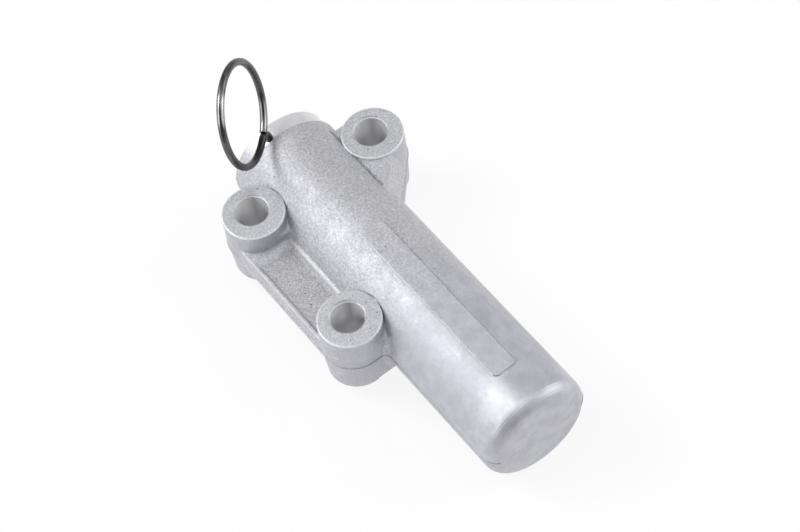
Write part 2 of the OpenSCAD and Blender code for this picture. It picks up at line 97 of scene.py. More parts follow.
# Places that only the casting's material follows, in millimetres
INSIDE_R = 13.1
SKIM_EDGE = (15.0, 24.0)
SKIM_SLANT = 0.4
GRAIN_FADE = (30.0, 66.0)
HANDLED_X = (85.0, 91.0)
BOSS_WALL_Z = (-1.0, 19.0)
# Heights over which the painted shade inside the bolt holes fades out
HOLE_SHADE_Z = (6.0, 18.5)
# Heights of the painted highlight inside the bolt holes
HOLE_HIGHLIGHT_Z = (9.5, 17.0)
PAD_TOP_Z = 24.0
PAD_SHADE_Y = 21.8
PAD_SHADE_X = 80.9
EAR_CORNER_Y = 27.5
EAR_CORNER_X = (-7.0, 15.0)
SEAM_FADE = (22.0, 14.0)
BEYOND = 200.0

# Directions that the bolt holes' walls face where a highlight is painted on them
HIGHLIGHT_NEAR = (0.96, 0.27, 0.0)
HIGHLIGHT_FAR = (0.10, -0.99, 0.0)

# Tool marks of the lathe and the drill: how close together and how wavy they are
LATHE_MARKS = (1400.0, 0.4)
DRILL_MARKS = (900.0, 0.6)

# The lock pin's ring: its centre, its axis, and two directions across it, away from the hook and down to it
RING_CENTRE = (-12.56, 9.76, 40.48)
RING_AXIS = (0.710, 0.671, 0.213)
RING_RISE = (0.194, -0.477, 0.856)
RING_DOWN = (0.676, -0.566, -0.469)

# Where the ring is darker, at its hook and along the leg, and where its painted highlight lines lie, in
# millimetres
HOOK_DOWN = (3.0, 5.2)
HOOK_RISE = (-2.0, -9.0)
LEG_Z = (27.8, 26.4)
FLANK_DOWN = (-2.6, 2.2)
FLANK_RISE = (4.5, 10.5)
FLANK_SLANT = -0.1
STREAK_MIDDLE = 0.3
STREAK_OFF = 0.45

# Colours as linear values, and pairs that a material runs between
SATIN = ((0.50, 0.50, 0.54), (0.60, 0.60, 0.65))
GRAIN = ((0.47, 0.47, 0.495), (0.675, 0.675, 0.715))
# The pocket's grainy floor, darkened by painted shade
POCKET_SHADE_AND_GRAIN = ((0.34, 0.34, 0.35), (0.66, 0.66, 0.68))
# Drilled walls, from painted shade deep in the hole to their own tone high up
DRILLED = ((0.56, 0.56, 0.565), (0.70, 0.70, 0.71))
WORN = (0.62, 0.63, 0.66)
# Edge wear and painted highlights, and the painted glints of the grain
WEAR_AND_HIGHLIGHT = (0.84, 0.84, 0.88)
TURNED = (0.88, 0.88, 0.89)
# Painted highlight inside the bolt holes
HOLE_HIGHLIGHT = (0.97, 0.97, 0.97)
FLECK = (0.30, 0.30, 0.31)
PIT = (0.13, 0.13, 0.135)
# Painted shade, and the dark parting seam
SHADE_AND_SEAM = (0.10, 0.10, 0.105)
WIRE = ((0.10, 0.099, 0.097), (0.15, 0.148, 0.145))
# Painted highlight on the ring, and the painted dark line between its two lines
WIRE_HIGHLIGHT = (0.52, 0.517, 0.508)
WIRE_HIGHLIGHT_GAP = (0.05, 0.05, 0.049)
# Darker tone at the hook and down the leg
WIRE_DARKENED = (0.028, 0.027, 0.027)
STEEL = ((0.50, 0.51, 0.52), (0.60, 0.61, 0.62))
SHEET = ((0.40, 0.40, 0.39), (0.52, 0.52, 0.50))
PLASTIC = ((0.34, 0.23, 0.12), (0.46, 0.33, 0.18))
RUBBER = ((0.018, 0.018, 0.019), (0.05, 0.05, 0.052))
FLOOR_TONE = (0.92, 0.92, 0.92, 1.0)
SKY_TONE = (0.97, 0.98, 1.0, 1.0)
CAST_METALLIC = 0.75

# Ranges that most of a noise's values fill, for roughness and for tones
MOST = (0.3, 0.7)
TONES = (0.34, 0.66)


# Materials

class Graph:
    """A short way to add and link shader nodes. Places and sizes are in millimetres."""

    def __init__(self, name):
        self.material = bpy.data.materials.new(name)
        self.material.use_nodes = True
        self.tree = self.material.node_tree
        self.shader = self.tree.nodes["Principled BSDF"]

    def add(self, kind, **settings):
        node = self.tree.nodes.new(kind)
        for key, value in settings.items():
            setattr(node, key, value)
        return node

    def put(self, source, target):
        if isinstance(source, bpy.types.NodeSocket):
            self.tree.links.new(source, target)
        else:
            target.default_value = source

    def finish(self, colour, roughness, normal, metallic):
        self.put(colour, self.shader.inputs["Base Color"])
        self.put(roughness, self.shader.inputs["Roughness"])
        self.put(normal, self.shader.inputs["Normal"])
        self.shader.inputs["Metallic"].default_value = metallic
        return self.material

    def place(self):
        return self.add("ShaderNodeTexCoord").outputs["Object"]

    def split(self, vector):
        node = self.add("ShaderNodeSeparateXYZ")
        self.put(vector, node.inputs[0])
        return node.outputs

    def join(self, x, y, z):
        node = self.add("ShaderNodeCombineXYZ")
        for source, target in zip((x, y, z), node.inputs):
            self.put(source, target)
        return node.outputs[0]

    def math(self, operation, a, b=0.0, clamp=False):
        node = self.add("ShaderNodeMath", operation=operation, use_clamp=clamp)
        self.put(a, node.inputs[0])
        self.put(b, node.inputs[1])
        return node.outputs[0]

    def both(self, first, *others):
        """The product of masks and shares."""
        for other in others:
            first = self.math("MULTIPLY", first, other)
        return first

    def either(self, first, *others):
        """The greatest of masks."""
        for other in others:
            first = self.math("MAXIMUM", first, other)
        return first

    def without(self, mask, other):
        return self.math("SUBTRACT", mask, other, clamp=True)

    def total(self, start, *terms):
        """A start value plus each term, a value with its weight."""
        for value, weight in terms:
            start = self.math("ADD", start, self.math("MULTIPLY", value, weight))
        return start

    def centred(self, noise):
        return self.math("SUBTRACT", noise, 0.5)

    def past(self, value, place):
        return self.math("SUBTRACT", value, place * MM)

    def away(self, value, place):
        """Distance of a coordinate from a place, on either side of it."""
        return self.math("ABSOLUTE", self.past(value, place))

    def reach(self, vector):
        node = self.add("ShaderNodeVectorMath", operation="LENGTH")
        self.put(vector, node.inputs[0])
        return node.outputs["Value"]

    def nearest(self, x, y, places):
        """Distance across x and y to the nearest of the places."""
        least = None
        for px, py in places:
            distance = self.reach(self.join(self.past(x, px), self.past(y, py), 0.0))
            least = distance if least is None else self.math("MINIMUM", least, distance)
        return least

    def along(self, vector, direction, start=(0.0, 0.0, 0.0)):
        """Distance along a direction from a place."""
        shift = self.add("ShaderNodeVectorMath", operation="SUBTRACT")
        self.put(vector, shift.inputs[0])
        shift.inputs[1].default_value = [v * MM for v in start]
        node = self.add("ShaderNodeVectorMath", operation="DOT_PRODUCT")
        self.put(shift.outputs[0], node.inputs[0])
        node.inputs[1].default_value = direction
        return node.outputs["Value"]

    def span(self, value, low, high, out_low=0.0, out_high=1.0):
        """A smooth step from one output to the other, as a plain value goes from low to high."""
        node = self.add("ShaderNodeMapRange", interpolation_type="SMOOTHSTEP")
        self.put(value, node.inputs["Value"])
        for key, number in (("From Min", low), ("From Max", high), ("To Min", out_low), ("To Max", out_high)):
            node.inputs[key].default_value = number
        return node.outputs["Result"]

    def ramp(self, value, low, high, out_low=0.0, out_high=1.0):
        """A smooth step between two places."""
        return self.span(value, low * MM, high * MM, out_low, out_high)

    def band(self, value, low, high, soft):
        """One between two places, with soft edges of that width outside them."""
        return self.both(self.ramp(value, low - soft, low), self.ramp(value, high + soft, high))

    def noise(self, vector, size, detail=3.0, rough=0.55):
        """Noise with features about that size."""
        node = self.add("ShaderNodeTexNoise")
        self.put(vector, node.inputs["Vector"])
        node.inputs["Scale"].default_value = 1.0 / (size * MM)
        node.inputs["Detail"].default_value = detail
        node.inputs["Roughness"].default_value = rough
        return node.outputs["Fac"]

    def cells(self, vector, size):
        """Distance to the middle of the nearest of many cells, as a share of their size."""
        node = self.add("ShaderNodeTexVoronoi")
        self.put(vector, node.inputs["Vector"])
        node.inputs["Scale"].default_value = 1.0 / (size * MM)
        return node.outputs["Distance"]

    def rows(self, vector, direction, scale, distortion):
        """Wavy tool marks, one after the other along a direction."""
        node = self.add("ShaderNodeTexWave", wave_type="BANDS", bands_direction=direction)
        self.put(vector, node.inputs["Vector"])
        node.inputs["Scale"].default_value = scale
        node.inputs["Distortion"].default_value = distortion
        return node.outputs["Fac"]

    def mix(self, factor, a, b):
        node = self.add("ShaderNodeMix", data_type="RGBA")
        self.put(factor, node.inputs["Factor"])
        for source, target in ((a, node.inputs["A"]), (b, node.inputs["B"])):
            if isinstance(source, tuple):
                source = source + (1.0,)
            self.put(source, target)
        return node.outputs["Result"]

    def bump(self, height, distance, strength, normal=None):
        node = self.add("ShaderNodeBump")
        self.put(height, node.inputs["Height"])
        self.put(strength, node.inputs["Strength"])
        node.inputs["Distance"].default_value = distance * MM
        if normal is not None:
            self.put(normal, node.inputs["Normal"])
        return node.outputs["Normal"]


def past_pad(g, x, y):
    """Distance outside the outline of the raised pad, below 0 inside it."""
    x = g.past(g.away(x, sum(PAD_X) / 2), (PAD_X[1] - PAD_X[0]) / 2 - PAD_CORNER)
    y = g.past(g.away(y, AXIS_Y), PAD_HALF - PAD_CORNER)
    outside = g.reach(g.join(g.either(x, 0.0), g.either(y, 0.0), 0.0))
    inside = g.math("MINIMUM", g.either(x, y), 0.0)
    return g.past(g.math("ADD", outside, inside), PAD_CORNER)


def casting_places(g):
    """Coordinates on the casting, distances from its features, and masks of the pad's lit and shaded sides."""
    p = g.place()
    x, y, z = g.split(p)
    upper = g.band(z, PAD_TOP_Z, BEYOND, 0.1)
    shaded = g.either(g.band(y, PAD_SHADE_Y, BEYOND, 0.6), g.band(x, PAD_SHADE_X, BEYOND, 0.5))
    return SimpleNamespace(
        p=p, x=x, y=y, z=z,
        axis=g.reach(g.join(0.0, g.past(y, AXIS_Y), g.past(z, AXIS_Z))),
        bolt=g.nearest(x, y, BOLTS),
        boss=g.nearest(x, y, [(bx + BOSS_SHIFT, by) for bx, by in BOLTS]),
        parting=g.away(z, AXIS_Z),
        pad=past_pad(g, x, y),
        pad_lit=g.without(upper, shaded),
        pad_shaded=g.both(upper, shaded),
    )


def casting_zones(g, at):
    """Masks of the places where the casting was machined, and of those where its skin differs."""
    outboard = g.ramp(at.axis, BODY_R + 0.1, BODY_R + 0.7)
    collar = g.ramp(at.x, STEP_X + 0.05, STEP_X - 0.05)
    skimmed = g.both(collar, g.ramp(g.total(at.y, (at.z, SKIM_SLANT)), *SKIM_EDGE))
    inside = g.ramp(at.axis, INSIDE_R + 0.2, INSIDE_R - 0.2)
    bored = g.both(inside, g.ramp(at.x, BORE_END_X + 0.4, BORE_END_X + 0.1))
    turned = g.either(skimmed, bored)
    drilled = g.both(g.ramp(at.bolt, HOLE_R + 0.16, HOLE_R + 0.1), outboard)
    blasted = g.math("SUBTRACT", 1.0, g.either(turned, drilled))
    wall = g.both(g.band(at.boss, BOSS_R - 0.3, BOSS_R + 0.5, 0.3), g.band(at.z, *BOSS_WALL_Z, 0.8), outboard)
    grainy = g.either(g.ramp(at.x, *GRAIN_FADE, 1.0, 0.12), outboard)
    return SimpleNamespace(
        outboard=outboard,
        turned=turned,
        drilled=drilled,
        blasted=blasted,
        coarse=g.both(grainy, blasted, g.span(wall, 0.0, 1.0, 1.0, 0.4)),
        top=g.both(g.ramp(at.z, BOSS_H - 0.5, BOSS_H - 0.1), g.ramp(at.boss, BOSS_R + 0.45, BOSS_R + 0.05)),
        level=g.both(outboard, g.ramp(at.z, EAR_TOP - 0.6, EAR_TOP - 0.2)),
        pocket=g.both(
            g.band(at.y, POCKET_Y[0] + 0.5, POCKET_Y[1] - 0.3, 0.3),
            g.ramp(at.parting, PLATE_HALF, PLATE_HALF - 0.4),
            g.ramp(at.x, POCKET_X + 0.8, POCKET_X + POCKET_SLOPE),
            g.ramp(at.boss, BOSS_R + 0.25, BOSS_R + 2.05),
        ),
    )


def casting_noise(g, at, zone):
    """Noise at the scale of the blasting, of the skin's clouds and of handling."""
    sparkle = g.noise(at.p, 0.5, 1.0)
    dragged = g.noise(g.join(g.math("MULTIPLY", at.x, 0.08), at.y, at.z), 0.6, 2.0)
    return SimpleNamespace(
        grain=g.noise(at.p, 0.62, 2.5, 0.65),
        fine=g.noise(at.p, 0.34, 2.0, 0.6),
        mottle=g.noise(at.p, 1.3, 3.0, 0.6),
        cloud=g.noise(at.p, 4.2, 5.0, 0.6),
        broad=g.noise(at.p, 16.0, 2.0),
        glint=g.span(sparkle, 0.64, 0.72),
        fleck=g.both(g.span(sparkle, 0.38, 0.30), zone.level, zone.blasted),
        pits=g.both(
            g.span(g.cells(at.p, 2.7), 0.055, 0.12, 1.0, 0.0),
            g.span(g.noise(at.p, 7.0), 0.45, 0.51),
            g.span(zone.coarse, 0.2, 0.8, 0.1, 1.0),
        ),
        scuff=g.both(
            g.span(dragged, 0.60, 0.70),
            g.span(g.noise(at.p, 11.0, 2.0), 0.52, 0.64),
            g.without(zone.blasted, zone.coarse),
        ),
    )


def casting_wear_and_highlights(g, at, zone, noise):
    """Masks of edge wear from handling, and of painted highlights along the pad's lit edge and the plate's
    rims.
    """
    rim = g.both(g.band(at.boss, BOSS_R - 0.32, BOSS_R + 0.1, 0.08), g.band(at.z, BOSS_H - 0.4, BEYOND, 0.15))
    edge = PLATE_EDGE + PLATE_DRAFT
    # The plate's outer edge and the pocket's brow: partly edge wear, partly painted highlight
    lip = g.either(
        g.band(at.y, edge - 0.16, edge + 0.2, 0.08),
        g.band(at.y, POCKET_Y[1] - 0.1, POCKET_Y[1] + 0.5, 0.12),
    )
    lip = g.both(lip, zone.outboard, g.band(at.parting, PLATE_HALF - 0.35, PLATE_HALF + 0.1, 0.1))
    # Painted highlight along the pad's lit edge
    pad = g.both(g.band(at.pad, -0.14, 0.1, 0.05), at.pad_lit)
    wear_and_lit = g.either(rim, g.both(lip, 0.9), g.both(pad, 0.8))
    return g.both(wear_and_lit, g.span(noise.cloud, 0.3, 0.55, 0.45, 0.8), zone.blasted)


def casting_shade_and_seam(g, at):
    """Masks of painted shade along the pad's shaded side and just outside its lit side, in the hollows beside
    the bosses and at the ear's top, and of the dark parting seam across the closed end.
    """
    # Painted shadow along the pad's shaded side
    pad_shadow = g.both(
        g.band(at.pad, -0.12, 0.04, 0.07),
        at.pad_shaded,
        g.ramp(at.x, PAD_X[1] - 2.5, PAD_X[1] - 0.5, 0.6, 0.2),
    )
    # Painted shade just outside the foot of the pad's lit side
    pad_foot_shade = g.both(g.band(at.pad, 0.14, 0.24, 0.08), at.pad_lit)
    # Painted shade in the hollow where each boss meets the body
    crease_shade = g.both(
        g.band(at.boss, BOSS_R + 0.02, BOSS_R + 0.26, 0.14),
        g.band(at.z, BOSS_H - 2.0, BOSS_H + 0.8, 0.5),
        g.band(at.axis, BODY_R - 0.4, BODY_R + 0.5, 0.25),
    )
    # Painted shade in the corner where the ear's top meets the body
    corner = g.both(
        g.band(at.axis, BODY_R - 0.2, BODY_R + 0.35, 0.12),
        g.band(at.z, EAR_TOP - 0.2, EAR_TOP + 0.3, 0.2),
        g.band(at.y, EAR_CORNER_Y, BEYOND, 0.5),
        g.band(at.x, *EAR_CORNER_X, 1.0),
    )
    # The dark parting seam across the closed end
    seam = g.both(
        g.band(at.x, END_X - 0.6, END_X + 1.0, 0.3),
        g.band(at.z, AXIS_Z - 0.1, AXIS_Z + 0.1, 0.06),
        g.ramp(at.y, *SEAM_FADE, 0.0, 0.4),
        g.span(g.noise(at.p, 2.4, 2.0), 0.44, 0.58),
    )
    shade_and_seam = g.either(pad_shadow, g.both(pad_foot_shade, 0.4), g.both(crease_shade, 0.65), g.both(corner, 0.6), seam)
    return g.both(shade_and_seam, g.span(g.noise(at.p, 1.4, 3.0), 0.28, 0.6, 0.25, 1.0))


def hole_highlight(g, at, zone):
    """Mask of the two sides of each bolt hole's wall where a painted highlight lightens the colour."""
    facing = g.add("ShaderNodeTexCoord").outputs["Normal"]
    near = g.span(g.along(facing, HIGHLIGHT_NEAR), 0.55, 0.95)
    far = g.span(g.along(facing, HIGHLIGHT_FAR), 0.66, 0.97, 0.0, 0.9)
    return g.both(g.either(near, far), zone.drilled, g.ramp(at.z, *HOLE_HIGHLIGHT_Z))


def cast_aluminium():
    """Blasted casting: sparkling grain at the mouth end and the bosses, satin and handled at the closed end."""
    g = Graph("cast_aluminium")
    at = casting_places(g)
    zone = casting_zones(g, at)
    noise = casting_noise(g, at, zone)
    # Painted shade: the bolt holes' walls darker the deeper they go
    hole_shade_by_depth = g.both(g.ramp(at.z, *HOLE_SHADE_Z), g.span(noise.grain, 0.3, 0.65, 0.7, 1.0))

    # Each coat lies over the ones before it
    coats = (
        (g.both(noise.scuff, 0.2), WEAR_AND_HIGHLIGHT),
        (g.both(zone.coarse, 0.85), g.mix(g.span(noise.grain, *TONES), *GRAIN)),
        # Painted shade darkens the pocket's floor, over its grainier skin
        (g.both(zone.pocket, 0.7), g.mix(g.span(noise.fine, 0.34, 0.64), *POCKET_SHADE_AND_GRAIN)),
        (g.both(zone.top, 0.25), WORN),
        (g.both(noise.glint, zone.coarse, 0.75), WEAR_AND_HIGHLIGHT),
        (g.both(noise.fleck, 0.4), FLECK),
        # Edge wear, with painted highlights along the pad's lit edge and the plate's rims
        (casting_wear_and_highlights(g, at, zone, noise), WEAR_AND_HIGHLIGHT),
        (g.both(zone.turned, 0.85), TURNED),
        # The bolt holes' walls, with painted shade deep down
        (g.both(zone.drilled, 0.9), g.mix(hole_shade_by_depth, *DRILLED)),
        # Painted highlight on two sides of each bolt hole's wall
        (hole_highlight(g, at, zone), HOLE_HIGHLIGHT),
        (g.both(noise.pits, zone.blasted, 0.7), PIT),
        # Painted shade in hollows and along the pad, and the dark parting seam
        (casting_shade_and_seam(g, at), SHADE_AND_SEAM),
    )
    colour = g.mix(g.span(noise.cloud, *TONES), *SATIN)
    for share, coat in coats:
        colour = g.mix(share, colour, coat)

    handled = g.both(g.band(at.x, *HANDLED_X, 8.0), g.span(noise.cloud, 0.40, 0.6, 0.04, 0.13))
    roughness = g.total(
        g.span(noise.cloud, *MOST, 0.53, 0.65),
        (handled, -1.0),
        (g.centred(noise.fine), 0.12),
        (g.centred(noise.broad), 0.10),
        (g.centred(noise.mottle), 0.16),
        (zone.coarse, 0.03),
        (zone.pocket, 0.14),
        (zone.turned, -0.12),
        (zone.drilled, -0.04),
    )

    # Tool marks, then the blasted skin, then the casting's slight waviness
    normal = g.bump(g.rows(at.p, "X", *LATHE_MARKS), 0.02, g.both(zone.turned, 0.25))
    normal = g.bump(g.rows(at.p, "Z", *DRILL_MARKS), 0.12, g.both(zone.drilled, 0.7), normal)
    height = g.total(noise.grain, (noise.fine, 0.4), (noise.mottle, 0.6), (noise.pits, -0.6))
    normal = g.bump(height, 0.14, g.total(0.1, (zone.coarse, 0.36), (zone.pocket, 0.25)), normal)
    normal = g.bump(noise.cloud, 0.6, g.both(zone.blasted, 0.2), normal)
    return g.finish(colour, roughness, normal, CAST_METALLIC)


def spring_wire():
    """Drawn wire with a dark skin, two painted highlight lines along both flanks of the ring, and a painted
    dark line between them.
    """
    g = Graph("spring_wire")
    p = g.place()
    z = g.split(p)["Z"]
    patch = g.noise(p, 4.0)
    fine = g.noise(p, 0.5)
    aside = g.away(g.along(p, RING_AXIS, RING_CENTRE), STREAK_MIDDLE)
    height = g.along(p, RING_RISE, RING_CENTRE)
    down = g.along(p, RING_DOWN, RING_CENTRE)
    hook = g.both(g.ramp(down, *HOOK_DOWN), g.ramp(height, *HOOK_RISE))
    # Darker at the hook and down the leg
    hook_and_leg_dark = g.either(hook, g.ramp(z, *LEG_Z))
    slant = g.total(down, (height, FLANK_SLANT))
    flanks = g.both(g.band(slant, *FLANK_DOWN, 2.4), g.ramp(g.away(height, 0.0), *FLANK_RISE))
    # Painted highlight: two bright lines along the ring's flanks, brighter towards the top, standing for the
    # lamps' reflections
    highlight_lines = g.both(
        g.ramp(g.away(aside, STREAK_OFF), 0.34, 0.13),
        flanks,
        g.span(patch, 0.25, 0.6, 0.75, 1.0),
        g.ramp(height, -8.0, 8.0, 0.6, 1.0),
    )
    # Painted dark line between the two highlight lines
    highlight_gap = g.both(g.ramp(aside, 0.24, 0.08), flanks)
    colour = g.mix(g.span(patch, *MOST), *WIRE)
    colour = g.mix(highlight_lines, colour, WIRE_HIGHLIGHT)
    colour = g.mix(g.both(highlight_gap, 0.7), colour, WIRE_HIGHLIGHT_GAP)
    colour = g.mix(g.span(fine, 0.62, 0.8, 0.0, 0.3), colour, WIRE[0])
    colour = g.mix(g.both(hook_and_leg_dark, 0.85), colour, WIRE_DARKENED)
    return g.finish(colour, g.span(patch, *MOST, 0.24, 0.34), g.bump(fine, 0.02, 0.12), 1.0)


def ground_steel():
    """Ground steel with fine rings around the axis."""
    g = Graph("ground_steel")
    p = g.place()
    x, y, z = g.split(p)
    rings = g.noise(g.join(x, g.math("MULTIPLY", y, 0.02), g.math("MULTIPLY", z, 0.02)), 0.18)
    colour = g.mix(g.span(g.noise(p, 5.0), *MOST), *STEEL)
    return g.finish(colour, g.span(rings, *MOST, 0.2, 0.34), g.bump(rings, 0.02, 0.25), 1.0)


def pressed_steel():
    """Pressed sheet with a dull phosphate finish."""
    g = Graph("pressed_steel")
    p = g.place()
    fine = g.noise(p, 0.6)
    colour = g.mix(g.span(g.noise(p, 4.0, 2.0), *MOST), *SHEET)
    return g.finish(colour, g.span(fine, *MOST, 0.36, 0.5), g.bump(fine, 0.04, 0.3), 1.0)


def bearing_plastic():
    """Filled bearing plastic with small flecks."""
    g = Graph("bearing_plastic")
    fleck = g.noise(g.place(), 0.5)
    colour = g.mix(g.span(fleck, 0.35, 0.65), *PLASTIC)
    return g.finish(colour, g.span(fleck, *MOST, 0.42, 0.58), g.bump(fleck, 0.04, 0.3), 0.0)


def seal_rubber():
    """Moulded nitrile rubber with a slight bloom."""
    g = Graph("seal_rubber")
    p = g.place()
    fine = g.noise(p, 0.4)
    colour = g.mix(g.span(g.noise(p, 3.0), 0.4, 0.75), *RUBBER)
    return g.finish(colour, g.span(fine, *MOST, 0.5, 0.68), g.bump(fine, 0.05, 0.35), 0.0)


MAKERS = (cast_aluminium, spring_wire, ground_steel, pressed_steel, bearing_plastic, seal_rubber)
materials = {make.__name__: make() for make in MAKERS}


def dress(obj, slot):
    obj.data.materials.clear()
    obj.data.materials.append(materials[slot])


for subpart in frame["record"]["subparts"]:
    dress(frame["nodes"][subpart["node"]], subpart["material_slot"])


def add_piece(name, mesh, slot):
    mesh.shade_smooth()
    piece = bpy.data.objects.new(name, mesh)
    bpy.context.collection.objects.link(piece)
    dress(piece, slot)
    return piece


# Cast fillets

# Radii along the foot of each shelf, and heights and radii where a boss meets the body, in millimetres
WEB_FOOT = 1.2
PLATE_FOOT = 0.6
EAR_FOOT = 0.35
WEB_ROOT = ((0, 3, 14.5, 18), (0.8, 1.8, 1.8, 0.2))
EAR_ROOT = ((0, 3, 17, 19.3), (0.8, 1.0, 1.0, 0.2))

# The grid, in millimetres: its step, its lines across the flash, the room they take, and the step for slopes
NET_STEP = 0.32
FLASH_LINES = (-0.42, -0.28, -0.14, 0.0, 0.14, 0.28, 0.42)
FLASH_ROOM = 0.55
NUDGE = 0.02

# A face stays if one of its corners stands this proud of the solid.
# Points less proud than SINK_BELOW sink into the solid, by SINK at most.
LEAST_PROUD = 0.02
SINK = 0.03
SINK_BELOW = 0.08

# Boxes that hold the fillets of the first two bosses and those of the third, in millimetres
WEB_BOX = ((-9.5, -9.5, -1.0), (54.0, 10.5, 22.0))
EAR_BOX = ((-9.5, 27.5, -1.0), (24.0, 48.0, 22.0))


def round_union(a, b, r):
    """The union of two distances, with a fillet of radius r in the corner between them."""
    return np.maximum(r, np.minimum(a, b)) - np.hypot(np.maximum(r - a, 0), np.maximum(r - b, 0))


def most(*distances):
    return np.maximum.reduce(distances)


def boss_field(x, y, z, bx, by):
    """Distance to a boss with rounded rims."""
    above, below = (z - AXIS_Z) / (BOSS_H - AXIS_Z), (AXIS_Z - z) / AXIS_Z
    slope_in = np.where(z > AXIS_Z, BOSS_DRAFT * above, BOSS_TAPER * below)
    wall = np.hypot(x - bx - BOSS_SHIFT, y - by) - BOSS_R - BOSS_DRAFT + slope_in
    ends = np.abs(z - BOSS_H / 2) - BOSS_H / 2
    return -round_union(-wall, -ends, BOSS_ROUND)


def shelf_union(whole, floor, sides, r):
    """Adds a shelf with this floor inside these sides, with a fillet of radius r around it if r isn't 0."""
    added = most(floor, sides)
    if r:
        added = np.minimum(added, most(round_union(whole, floor, r), sides))
    return np.minimum(whole, added)


def tied_boss_field(x, y, z, bx, by, soft):
    """A boss with the web that runs from it into the body."""
    high, low = (z - AXIS_Z) / (WEB_TOP - AXIS_Z), (AXIS_Z - z) / (AXIS_Z - WEB_BOTTOM)
    slope_in = np.where(z > AXIS_Z, BOSS_DRAFT * high, BOSS_TAPER * low)
    wall = np.abs(x - bx - BOSS_SHIFT) - WEB_HALF + slope_in
    sides = most(wall, WEB_BOTTOM - z, -y, y - AXIS_Y / 2)
    return shelf_union(boss_field(x, y, z, bx, by), z - WEB_TOP, sides, WEB_FOOT if soft else 0)


def plate_union(whole, x, y, z, soft):
    """Adds the plate between the two bosses, with its pockets."""
    up = np.abs(z - AXIS_Z)
    left = PLATE_HALF - up
    sides = most(PLATE_EDGE + PLATE_DRAFT * up / PLATE_HALF - y, -x, x - BOLTS[1][0], y - AXIS_Y)
    rim_run, run = RIM_SLOPE / POCKET_DEPTH, POCKET_SLOPE / POCKET_DEPTH
    pocket = most(
        left - POCKET_DEPTH,
        (POCKET_Y[0] + rim_run * left - y) / np.hypot(1, rim_run),
        (y - POCKET_Y[1] + left) / np.sqrt(2),
        (POCKET_X + run * left - x) / np.hypot(1, run),
    )
    return shelf_union(whole, np.maximum(-left, -pocket), sides, PLATE_FOOT if soft else 0)


def eared_boss_field(x, y, z, soft):
    """The third boss with its ear."""
    dx, dy = x - BOSS_SHIFT, y - BOLTS[2][1]
    turn = np.radians(EAR_ANGLE)
    along = dx * np.cos(turn) - dy * np.sin(turn)
    out = dx * np.sin(turn) + dy * np.cos(turn)
    reach = BOSS_R + BOSS_DRAFT
    high, low = (z - AXIS_Z) / (EAR_TOP - AXIS_Z), (AXIS_Z - z) / (AXIS_Z - WEB_BOTTOM)
    wall = out - reach + np.where(z > AXIS_Z, EAR_LEAN * high, EAR_DRAFT * low)
    outer = most(wall, -BOSS_R / 2 - out, -along, along - EAR_LENGTH)
    mouth = most(-dx - reach + EAR_DRAFT * np.maximum(high, low), dx, dy, -AXIS_Y / 2 - dy)
    sides = np.maximum(np.minimum(outer, mouth), WEB_BOTTOM - z)
    return shelf_union(boss_field(x, y, z, *BOLTS[2]), z - EAR_TOP, sides, EAR_FOOT if soft else 0)


def casting_field(x, y, z, soft):
    """Distance to the casting's outside, with sharp corners or with cast fillets in them."""
    whole = np.hypot(y - AXIS_Y, z - AXIS_Z) - BODY_R
    pieces = [(tied_boss_field(x, y, z, bx, by, soft), WEB_ROOT) for bx, by in BOLTS[:2]]
    pieces.append((eared_boss_field(x, y, z, soft), EAR_ROOT))
    for piece, root in pieces:
        whole = round_union(whole, piece, np.interp(z, *root)) if soft else np.minimum(whole, piece)
    whole = plate_union(whole, x, y, z, soft)
    return np.minimum(whole, np.maximum(whole - FLASH_H, np.abs(z - AXIS_Z) - FLASH_W / 2))


def net_axes(low, high):
    """Grid lines through a box, closer together across the flash."""
    axes = [np.arange(a, b, NET_STEP) for a, b in zip(low, high)]
    clear = axes[2][np.abs(axes[2] - AXIS_Z) > FLASH_ROOM]
    axes[2] = np.sort(np.concatenate((clear, AXIS_Z + np.array(FLASH_LINES))))
    return axes


def crossings(field, axes):
    """The grid's cells that the surface passes through, and the middle of where it crosses each one's edges."""
    inside = field < 0
    nx, ny, nz = (n - 1 for n in field.shape)
    corners = list(np.ndindex(2, 2, 2))
    count = sum(inside[i:i + nx, j:j + ny, k:k + nz].astype(int) for i, j, k in corners)
    cells = np.argwhere((count > 0) & (count < len(corners)))
    total = np.zeros((len(cells), 3))
    hits = np.zeros(len(cells))
    for a in corners:
        for axis in range(3):
            if a[axis]:
                continue
            b = tuple(v + (n == axis) for n, v in enumerate(a))
            fa = field[tuple((cells + a).T)]
            fb = field[tuple((cells + b).T)]
            cross = (fa < 0) != (fb < 0)
            share = np.where(cross, fa / np.where(cross, fa - fb, 1), 0)
            spot = cells + np.array(a, float)
            spot[:, axis] += share
            total += spot * cross[:, None]
            hits += cross
    spots = total / hits[:, None]
    return cells, np.stack([np.interp(s, np.arange(len(a)), a) for s, a in zip(spots.T, axes)], 1)


def slope(points):
    """How fast the filleted distance grows along each axis."""
    parts = []
    for step in NUDGE * np.eye(3):
        ahead = casting_field(*(points + step).T, True)
        behind = casting_field(*(points - step).T, True)
        parts.append((ahead - behind) / (2 * NUDGE))
    return np.stack(parts, 1)


